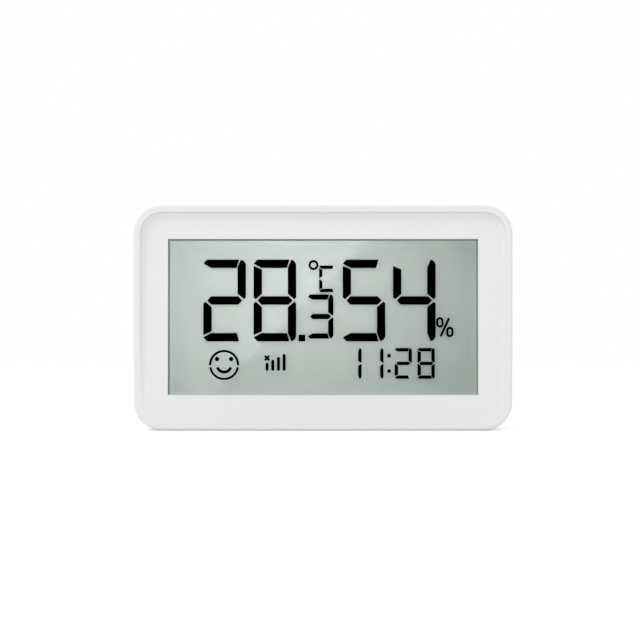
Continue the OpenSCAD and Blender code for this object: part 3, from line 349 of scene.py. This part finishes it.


# The film's colour is painted paler towards the walls of the window. This is painted light that makes up
# for the shade the walls throw on it.
reflector, tree, shader = start_material("reflector_film")
axes = object_axes(tree)
share = math_step(tree, "MULTIPLY", open_share(tree, axes["X"], 0, window_w / 2),
                  open_share(tree, axes["Z"], window_z, window_h / 2))
pearl_and_painted_light = tree.nodes.new("ShaderNodeVectorMath")
pearl_and_painted_light.operation = "SCALE"
cloud = noise_on_object(tree, pearl_size, detail=3)
tree.links.new(blend(tree, cloud, shaded(film_green, flow_shade), film_green), pearl_and_painted_light.inputs["Vector"])
tree.links.new(math_step(tree, "POWER", share, -painted_light_power), pearl_and_painted_light.inputs["Scale"])
tree.links.new(pearl_and_painted_light.outputs["Vector"], shader.inputs["Base Color"])
shader.inputs["Roughness"].default_value = film_gloss
shader.inputs["IOR"].default_value = film_index
dress("reflector_film", reflector)

# Display marks
# The figures, signs and bars that the driver turns dark between the two panes.
mark_darkest = (0.0003, 0.0005, 0.0004)
mark_dark = (0.0005, 0.0008, 0.0007)
mark_cloud = 0.001
mark_gloss = 0.6
crystal_black, tree, shader = start_material("crystal_black")
cloud = noise_on_object(tree, mark_cloud)
tree.links.new(blend(tree, cloud, mark_darkest, mark_dark), shader.inputs["Base Color"])
shader.inputs["Roughness"].default_value = mark_gloss
shader.inputs["Specular IOR Level"].default_value = 0.0
for mark in ("temperature_digits", "humidity_digits", "clock_digits", "comfort_face", "signal_bars"):
    dress(mark, crystal_black)

# Display spacer
# White moulded frame that holds the glass at its height above the board.
spacer_pale = (0.70, 0.70, 0.68)
spacer = moulded_plastic("spacer_white", spacer_pale, gloss=(0.45, 0.55), relief=(0.0003, 0.000008))
dress("display_spacer", spacer)

# Conductive strip
# Silicone rubber in fine black and pale layers, squeezed between the glass and the board.
layer_pitch = 0.0004
layer_black = (0.02, 0.02, 0.02)
layer_pale = (0.30, 0.26, 0.22)
rubber_mottle = 0.0006
rubber_gloss = (0.6, 0.75)
wave_rate = 20
striped_rubber, tree, shader = start_material("striped_rubber")
place = tree.nodes.new("ShaderNodeTexCoord")
layers = tree.nodes.new("ShaderNodeTexWave")
layers.bands_direction = "X"
layers.inputs["Scale"].default_value = 2 * math.pi / (wave_rate * layer_pitch)
tree.links.new(place.outputs["Object"], layers.inputs["Vector"])
tree.links.new(blend(tree, layers.outputs["Fac"], layer_black, layer_pale), shader.inputs["Base Color"])
spread(tree, noise_on_object(tree, rubber_mottle), rubber_gloss, shader.inputs["Roughness"])
dress("zebra_strip", striped_rubber)

# Main board
# Glass-fibre laminate under a green solder mask, with the copper tracks just showing through it.
mask_green = (0.018, 0.105, 0.045)
track_green = (0.035, 0.17, 0.07)
track_pitch = 0.0011
track_run = 9
track_line = 0.22
track_shift = 0.37
mask_mottle = 0.002
mask_gloss = (0.28, 0.4)
board_mask, tree, shader = start_material("board_mask")
place = tree.nodes.new("ShaderNodeTexCoord")
stand_up = tree.nodes.new("ShaderNodeMapping")
stand_up.inputs["Rotation"].default_value = (math.radians(90), 0, 0)
tracks = tree.nodes.new("ShaderNodeTexBrick")
tracks.offset = track_shift
tracks.inputs["Scale"].default_value = 1 / track_pitch
tracks.inputs["Brick Width"].default_value = track_run
tracks.inputs["Row Height"].default_value = 1
tracks.inputs["Mortar Size"].default_value = track_line
tracks.inputs["Color1"].default_value = (0, 0, 0, 1)
tracks.inputs["Color2"].default_value = (0, 0, 0, 1)
tracks.inputs["Mortar"].default_value = (1, 1, 1, 1)
tree.links.new(place.outputs["Object"], stand_up.inputs["Vector"])
tree.links.new(stand_up.outputs["Vector"], tracks.inputs["Vector"])
copper_lines = blend(tree, tracks.outputs["Color"], mask_green, track_green)
tree.links.new(copper_lines, shader.inputs["Base Color"])
spread(tree, noise_on_object(tree, mask_mottle), mask_gloss, shader.inputs["Roughness"])
dress("main_board", board_mask)

# Board parts
# Black moulded chips, plated cans, pale ceramic and small brown parts, all soldered on by reflow.
chip_black = (0.016, 0.016, 0.017)
sensor_black = (0.022, 0.022, 0.023)
antenna_pale = (0.62, 0.61, 0.56)
part_brown = (0.16, 0.11, 0.075)
tin_grey = (0.66, 0.66, 0.65)
plate_cloud = 0.003
plate_shade = 0.92
plate_streak = 0.0006
driver_mottle = 0.0005
driver_gloss = (0.35, 0.5)
driver_body_half = 0.0035
moulded_chip = moulded_plastic("moulded_chip", chip_black, gloss=(0.5, 0.62), relief=(0.00012, 0.000006))
dress("radio_chip", moulded_chip)
sensor_cap = moulded_plastic("sensor_cap", sensor_black, gloss=(0.4, 0.5), relief=(0.0001, 0.000004))
dress("air_sensor", sensor_cap)
ceramic = moulded_plastic("antenna_ceramic", antenna_pale, gloss=(0.35, 0.5), relief=(0.0002, 0.000004))
dress("chip_antenna", ceramic)
small_body = moulded_plastic("small_part_body", part_brown, gloss=(0.4, 0.55), relief=(0.0002, 0.000005))
dress("chip_parts", small_body)


def plated_metal(name, colour, gloss, stretch=(1, 1, 1)):
    """Plated metal with the faint streaks of its rolling or turning."""
    material, tree, shader = start_material(name)
    shader.inputs["Metallic"].default_value = 1.0
    cloud = noise_on_object(tree, plate_cloud, detail=3)
    tree.links.new(blend(tree, cloud, shaded(colour, plate_shade), colour), shader.inputs["Base Color"])
    streaks = noise_on_object(tree, plate_streak, detail=3, stretch=stretch)
    spread(tree, streaks, gloss, shader.inputs["Roughness"])
    return material


tin_plate = plated_metal("tin_plate", tin_grey, gloss=(0.25, 0.38), stretch=(1, 1, 0.1))
for can in ("radio_crystal", "clock_crystal", "pairing_switch"):
    dress(can, tin_plate)


def within(tree, coordinate, middle, half):
    """One where a coordinate lies within half of the middle, and nought elsewhere."""
    return math_step(tree, "LESS_THAN", distance_from(tree, coordinate, middle), half)


driver_low, driver_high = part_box("display_driver")
driver_middle = (driver_low + driver_high) / 2
leaded_chip, tree, shader = start_material("leaded_chip")
axes = object_axes(tree)
on_body = math_step(tree, "MULTIPLY", within(tree, axes["X"], driver_middle.x, driver_body_half),
                    within(tree, axes["Z"], driver_middle.z, driver_body_half))
tree.links.new(blend(tree, on_body, tin_grey, chip_black), shader.inputs["Base Color"])
tree.links.new(math_step(tree, "SUBTRACT", 1, on_body), shader.inputs["Metallic"])
spread(tree, noise_on_object(tree, driver_mottle), driver_gloss, shader.inputs["Roughness"])
dress("display_driver", leaded_chip)

# Board screws
# Small pan-head screws of plated steel, driven through the board into the posts behind the face.
steel_grey = (0.55, 0.55, 0.56)
screw_steel = plated_metal("screw_steel", steel_grey, gloss=(0.22, 0.36), stretch=(1, 0.2, 1))
dress("board_screws", screw_steel)

# Switch plunger
# The black stem of the pairing switch, which goes down with the button.
dress("switch_plunger", moulded_chip)

# Rear housing
# The back of the case, moulded like the front, with the battery bay, the screw wells,
# the hanging keyhole, the vents on the right-hand side and the pocket for the foot.
parting_reach = 0.0003
rear_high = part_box("rear_housing")[1]


def on_back(p):
    """Whether a point lies on the flat of the back."""
    return p.y > rear_high.y - on_plane


def at_side_vents(p):
    """Whether a point lies on the flat of the right-hand side."""
    return p.x > rear_high.x - on_plane


def at_rear_parting(p):
    """Whether a point lies on the edge that faces the front half."""
    return p.y < front_high.y + parting_reach and on_skin(p)


rear_shell = moulded_copy("rear_housing", "case", "rear_shell")
break_edges(rear_shell, lambda p: on_back(p) or at_side_vents(p) or at_rear_parting(p))
smooth_skin(rear_shell)
paint(rear_shell, "white_housing", white_abs)

# Pairing button
# White button with a shallow dish, which slides in the back of the case.
button_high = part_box("pairing_button")[1]
button_cap = moulded_copy("pairing_button", "button", "button_cap")
break_edges(button_cap, lambda p: p.y > button_high.y - on_plane)
smooth_skin(button_cap)
paint(button_cap, "white_housing", white_abs)

# Housing screws
# Four pan-head screws of plated steel, with a cross recess, a plain shank and a blunt point.
# They go in from the back, down the wells, and hold the two halves together.
head_r = 0.0018
head_h = 0.0013
head_round = 0.0006
head_sides = 40
head_steps = 5
core_r = 0.00078
tip_len = 0.0012
tip_share = 0.3
recess_len = 0.0019
recess_w = 0.00048
recess_depth = 0.0008
recess_share = 0.45
end_on = 0.9
screw_low, screw_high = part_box("housing_screws")
shank_len = screw_high.y - screw_low.y - head_h


def recess_bar(turn):
    """One bar of the cross recess, narrower at its foot, standing in the top of the head."""
    bpy.ops.object.select_all(action="DESELECT")
    bpy.ops.mesh.primitive_cube_add(size=1, location=(0, 0, head_h), rotation=(0, 0, turn),
                                    scale=(recess_len, recess_w, 2 * recess_depth))
    bpy.ops.object.transform_apply(location=True, rotation=True, scale=True)
    bar = bpy.context.object
    open_piece(bar, faces=lambda face: face.normal.z < -end_on)
    bpy.ops.transform.resize(value=(recess_share, recess_share, 1))
    close_piece()
    return bar


def cut_away(piece, cutter):
    """Takes one shape out of another."""
    apply_modifier(piece, "BOOLEAN", operation="DIFFERENCE", object=cutter, solver="EXACT")
    bpy.data.objects.remove(cutter)


def draw_out(x, z):
    """Draws the selected faces out of an open piece, along x and z."""
    bpy.ops.mesh.extrude_region_move(TRANSFORM_OT_translate={"value": (x, 0, z)})


bpy.ops.object.select_all(action="DESELECT")
bpy.ops.mesh.primitive_cylinder_add(vertices=head_sides, radius=head_r, depth=head_h,
                                    location=(0, 0, head_h / 2))
bpy.ops.object.transform_apply(location=True, rotation=True, scale=True)
screw_head = bpy.context.object
screw_head.name = "screw_head"
open_piece(screw_head, faces=lambda face: face.normal.z > end_on)
bpy.ops.mesh.bevel(offset=head_round, segments=head_steps, affect="EDGES")
close_piece()
open_piece(screw_head, faces=lambda face: face.normal.z < -end_on)
bpy.ops.mesh.inset(thickness=head_r - core_r)
draw_out(0, tip_len - shank_len)
draw_out(0, -tip_len)
bpy.ops.transform.resize(value=(tip_share, tip_share, 1))
close_piece()
for turn in (0, math.pi / 2):
    cut_away(screw_head, recess_bar(turn))

screws = []
lie_down = Matrix.Rotation(-math.pi / 2, 4, "X")
for x in (screw_low.x + head_r, screw_high.x - head_r):
    for z in (screw_low.z + head_r, screw_high.z - head_r):
        screw = add_object("housing_screw", screw_head.data.copy())
        seat = Matrix.Translation((x, screw_high.y - head_h, z))
        screw.data.transform(seat @ lie_down)
        screws.append(screw)
bpy.data.objects.remove(screw_head)
pick(screws[0])
for screw in screws:
    screw.select_set(True)
bpy.ops.object.join()
housing_screw_set = screws[0]
housing_screw_set.name = "housing_screw_set"
smooth_skin(housing_screw_set)
paint(housing_screw_set, "screw_steel", screw_steel)
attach(housing_screw_set, "case")
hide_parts("housing_screws")

# Battery contacts
# Nickel-plated spring steel, stamped and pushed into the ends of the bay.
nickel_pale = (0.70, 0.68, 0.63)
nickel = plated_metal("nickel_plate", nickel_pale, gloss=(0.22, 0.36), stretch=(1, 1, 0.08))
for contact in ("positive_contact", "negative_contact", "bridge_contact"):
    dress(contact, nickel)

# Battery springs
# Cone-shaped coils of plated wire, with a flat turn against the contact and another against the cell.
wire_r = 0.00025
wide_r = 0.0035
narrow_r = 0.0022
free_turns = 3.5
flat_turns = 0.75
points_a_turn = 28
wire_steps = 3
wire_smooth = math.radians(60)


def wound_spring(name, node, contact_x, cell_x):
    """A cone of round wire from the contact to the cell, wound by a formula."""
    low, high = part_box(node)
    middle = (low + high) / 2
    turns = free_turns + 2 * flat_turns
    wire = bpy.data.curves.new(name, "CURVE")
    wire.dimensions = "3D"
    wire.bevel_depth = wire_r
    wire.bevel_resolution = wire_steps
    wire.use_fill_caps = True
    line = wire.splines.new("POLY")
    line.points.add(round(turns * points_a_turn))
    for i, point in enumerate(line.points):
        turn = i / points_a_turn
        along = min(max((turn - flat_turns) / free_turns, 0), 1)
        r = wide_r + (narrow_r - wide_r) * along
        angle = 2 * math.pi * turn
        point.co = (contact_x + (cell_x - contact_x) * along,
                    middle.y + r * math.cos(angle), middle.z + r * math.sin(angle), 1)
    pick(add_object(name, wire))
    bpy.ops.object.convert(target="MESH")
    spring = bpy.context.object
    smooth_skin(spring, wire_smooth)
    paint(spring, "plated_contact", nickel)
    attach(spring, "case")
    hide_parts(node)


low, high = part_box("negative_spring")
wound_spring("negative_coil", "negative_spring", high.x - wire_r, low.x + wire_r)
low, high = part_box("bridge_spring")
wound_spring("bridge_coil", "bridge_spring", low.x + wire_r, high.x - wire_r)

# Battery cells
# Two AAA cells: a steel can in a shrunk printed sleeve, with crimped ends and a button at one of them.
# They lie head to tail in the bay, and are lifted out by hand.
sleeve_t = 0.00025
sleeve_sides = 72
crimp_len = 0.0007
crimp_w = 0.00045
crimp_drop = 0.0005
shoulder_w = 0.0014
shoulder_rise = 0.00035
button_len = 0.0012
button_r = 0.0019
base_crimp_w = 0.0005
base_drop = 0.0004
base_step_w = 0.0006
base_rise = 0.0003
crimp_round = 0.00009
crimp_angle = math.radians(40)
cell_smooth = math.radians(30)
plus_from_end = 0.0062
plus_long = 0.0016
plus_thin = 0.00045
band_len = 0.0115
sleeve_green = (0.035, 0.135, 0.105)
band_grey = (0.52, 0.54, 0.52)
print_dark = (0.03, 0.06, 0.055)
sleeve_mottle = 0.002
sleeve_gloss = (0.24, 0.34)
can_grey = (0.68, 0.68, 0.67)
on_end = 0.00001
cell_low, cell_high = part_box("lower_cell")
cell_r = (cell_high.z - cell_low.z) / 2
cell_len = cell_high.x - cell_low.x
sleeve_len = cell_len - button_len - 2 * crimp_len
button_step = cell_r - sleeve_t - crimp_w - shoulder_w - button_r
button_rise = button_len + crimp_drop - shoulder_rise


def turn_profile(steps):
    """Shapes a selected end face step by step: so much inwards, then so much along."""
    for inwards, along in steps:
        bpy.ops.mesh.inset(thickness=inwards)
        draw_out(along, 0)


bpy.ops.object.select_all(action="DESELECT")
bpy.ops.mesh.primitive_cylinder_add(vertices=sleeve_sides, radius=cell_r, depth=sleeve_len,
                                    location=(-button_len / 2, 0, 0), rotation=(0, math.pi / 2, 0))
bpy.ops.object.transform_apply(location=True, rotation=True, scale=True)
cell = bpy.context.object
open_piece(cell, faces=lambda face: face.normal.x > end_on)
turn_profile([(sleeve_t, crimp_len), (crimp_w, -crimp_drop), (shoulder_w, shoulder_rise),
              (button_step, button_rise)])
close_piece()
open_piece(cell, faces=lambda face: face.normal.x < -end_on and len(face.vertices) == sleeve_sides)
turn_profile([(sleeve_t, -crimp_len), (base_crimp_w, base_drop), (base_step_w, -base_rise)])
close_piece()
apply_modifier(cell, "BEVEL", width=crimp_round, segments=break_steps, limit_method="ANGLE",
               angle_limit=crimp_angle)


def printed_sleeve(name, middle, towards):
    """A plain two-tone sleeve with a plus sign by its button end."""
    material, tree, shader = start_material(name)
    axes = object_axes(tree)
    end = middle.x + towards * cell_len / 2
    plus_x = end - towards * plus_from_end
    across = math_step(tree, "MULTIPLY", within(tree, axes["X"], plus_x, plus_long),
                       within(tree, axes["Z"], middle.z, plus_thin))
    upright = math_step(tree, "MULTIPLY", within(tree, axes["X"], plus_x, plus_thin),
                        within(tree, axes["Z"], middle.z, plus_long))
    to_the_back = math_step(tree, "GREATER_THAN", axes["Y"], middle.y)
    plus = math_step(tree, "MULTIPLY", math_step(tree, "MAXIMUM", across, upright), to_the_back)
    two_tone = blend(tree, within(tree, axes["X"], end, band_len), sleeve_green, band_grey)
    tree.links.new(blend(tree, plus, two_tone, print_dark), shader.inputs["Base Color"])
    spread(tree, noise_on_object(tree, sleeve_mottle), sleeve_gloss, shader.inputs["Roughness"])
    return material


can_steel = plated_metal("can_steel", can_grey, gloss=(0.2, 0.32))
for node, towards in (("lower_cell", 1), ("upper_cell", -1)):
    low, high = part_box(node)
    middle = (low + high) / 2
    piece = add_object(node.replace("cell", "battery"), cell.data.copy())
    for face in piece.data.polygons:
        past_sleeve = abs(face.center.x + button_len / 2) > sleeve_len / 2 + on_end
        face.material_index = 1 if past_sleeve else 0
    if towards < 0:
        piece.data.transform(Matrix.Rotation(math.pi, 4, "Z"))
    piece.data.transform(Matrix.Translation(middle))
    smooth_skin(piece, cell_smooth)
    paint(piece, "cell_sleeve", printed_sleeve(node + "_sleeve", middle, towards), can_steel)
    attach(piece, "case")
    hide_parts(node)
bpy.data.objects.remove(cell)

# Battery door
# White moulded door that hangs on two pins along its lower edge, with a spring tongue
# and a ribbed scoop for the thumb at the top.
door_panel = moulded_copy("battery_door", "door", "door_panel")
break_edges(door_panel, on_back)
smooth_skin(door_panel)
paint(door_panel, "white_housing", white_abs)

# Fold-out foot
# White moulded flap on two pins at the lower edge of the back, ribbed on its inner side.
foot_flap = moulded_copy("fold_out_foot", "foot", "foot_flap")
break_edges(foot_flap, on_back)
smooth_skin(foot_flap)
paint(foot_flap, "white_housing", white_abs)

# Floor and sky
# A plain pale sheet under the object, and an even white sky, both white to the eye.
floor_r = 0.9
floor_sides = 96
floor_drop = 0.0001
floor_pale = 0.90
floor_lift = 0.30
sky_level = 0.93


def seen_white(tree):
    """One where the eye sees a surface straight on, in a mirror or through glass."""
    path = tree.nodes.new("ShaderNodeLightPath")
    direct = math_step(tree, "MAXIMUM", path.outputs["Is Camera Ray"], path.outputs["Is Glossy Ray"])
    return math_step(tree, "MAXIMUM", direct, path.outputs["Is Transmission Ray"])


bpy.ops.object.select_all(action="DESELECT")
bpy.ops.mesh.primitive_circle_add(vertices=floor_sides, radius=floor_r, fill_type="NGON",
                                  location=(0, 0, -floor_drop))
floor = bpy.context.object
floor.name = "floor"
floor_paper, tree, shader = start_material("floor_paper")
shader.inputs["Base Color"].default_value = (floor_pale, floor_pale, floor_pale, 1)
shader.inputs["Roughness"].default_value = 1.0
shader.inputs["Specular IOR Level"].default_value = 0.0
shader.inputs["Emission Color"].default_value = (1, 1, 1, 1)
lifted = math_step(tree, "MULTIPLY", seen_white(tree), floor_lift)
tree.links.new(lifted, shader.inputs["Emission Strength"])
floor.data.materials.append(floor_paper)

world = bpy.data.worlds.new("studio")
bpy.context.scene.world = world
world.use_nodes = True
tree = world.node_tree
sky = tree.nodes["Background"]
sky.inputs["Color"].default_value = (1, 1, 1, 1)
level = tree.nodes.new("ShaderNodeMapRange")
level.inputs["To Min"].default_value = sky_level
level.inputs["To Max"].default_value = 1.0
tree.links.new(seen_white(tree), level.inputs["Value"])
tree.links.new(level.outputs["Result"], sky.inputs["Strength"])

# Lamps
# A soft box high on the left lights the rim and leaves a soft shade under its upper left edge.
# A second one, far in front, mirrors in the display down to a slanting edge, and a third glows in it.
face_lean = math.radians(1.450)
window_middle = Vector((0, front_low.y, window_z))
straight_back = Vector((0, 1, 0))
key_side = 0.6
key_offset = Vector((-0.80, -0.50, 0.80))
key_power = 2.7
glare_side = 0.45
glare_back = 1.0
glare_edge = 0.0139
glare_level = 0.72
glare_off = (glare_edge + glare_side / 2) * math.sqrt(0.5)
glow_side = 0.32
glow_level = 2.3
glow_left = 0.016
glow_behind = 0.05
glow_above = 0.040
glow_reach = 0.5
lamp_middle = (0.5, 0.5, 0)
mirror_z = window_middle.z + glare_back * math.tan(2 * face_lean)


def soft_box(name, side, place, aim, power, roll=0):
    """A square soft box, turned to a point."""
    lamp = bpy.data.lights.new(name, "AREA")
    lamp.shape = "SQUARE"
    lamp.size = side
    lamp.energy = power
    box = add_object(name, lamp)
    box.location = place
    aimed = (aim - place).to_track_quat("-Z", "Y").to_matrix().to_4x4()
    box.rotation_euler = (aimed @ Matrix.Rotation(roll, 4, "Z")).to_euler()
    return lamp


def even_power(level, side):
    """The power that gives a square soft box this brightness."""
    return level * math.pi * side ** 2


soft_box("key_box", key_side, window_middle + key_offset, window_middle, key_power)
glare_place = Vector((-glare_off, window_middle.y - glare_back, mirror_z + glare_off))
soft_box("glare_box", glare_side, glare_place, glare_place + straight_back,
         even_power(glare_level, glare_side), math.pi / 4)
glow_place = Vector((-glow_left, window_middle.y - glare_back - glow_behind, mirror_z + glow_above))
glow = soft_box("glow_lamp", glow_side, glow_place, glow_place + straight_back,
                even_power(glow_level, glow_side))
glow.use_nodes = True
tree = glow.node_tree
spot = tree.nodes.new("ShaderNodeNewGeometry")
from_middle = tree.nodes.new("ShaderNodeVectorMath")
from_middle.operation = "DISTANCE"
from_middle.inputs[1].default_value = lamp_middle
tree.links.new(spot.outputs["Parametric"], from_middle.inputs[0])
fall = tree.nodes.new("ShaderNodeMapRange")
fall.interpolation_type = "SMOOTHSTEP"
fall.inputs["From Min"].default_value = 0.0
fall.inputs["From Max"].default_value = glow_reach
fall.inputs["To Min"].default_value = 1.0
fall.inputs["To Max"].default_value = 0.0
tree.links.new(from_middle.outputs["Value"], fall.inputs["Value"])
tree.links.new(fall.outputs["Result"], tree.nodes["Emission"].inputs["Strength"])

# Camera
# Square on to the front, as far off as a small-product photograph is taken.
camera_back = 0.6
sensor_mm = 36
frame_width = 0.14336
frame_pixels = 640
left_pixels = 3
down_pixels = 2.2
clear_layers = 40
camera_data = bpy.data.cameras.new("photo_view")
camera = add_object("photo_view", camera_data)
bpy.context.scene.camera = camera
camera.location = (0, front_low.y - camera_back, (front_low.z + front_high.z) / 2)
camera.rotation_euler = (math.radians(90), 0, 0)
camera_data.sensor_width = sensor_mm
camera_data.lens = sensor_mm * camera_back / frame_width
camera_data.shift_x = -left_pixels / frame_pixels
camera_data.shift_y = -down_pixels / frame_pixels
bpy.context.scene.cycles.transparent_max_bounces = clear_layers
bpy.context.scene.view_settings.view_transform = "Standard"
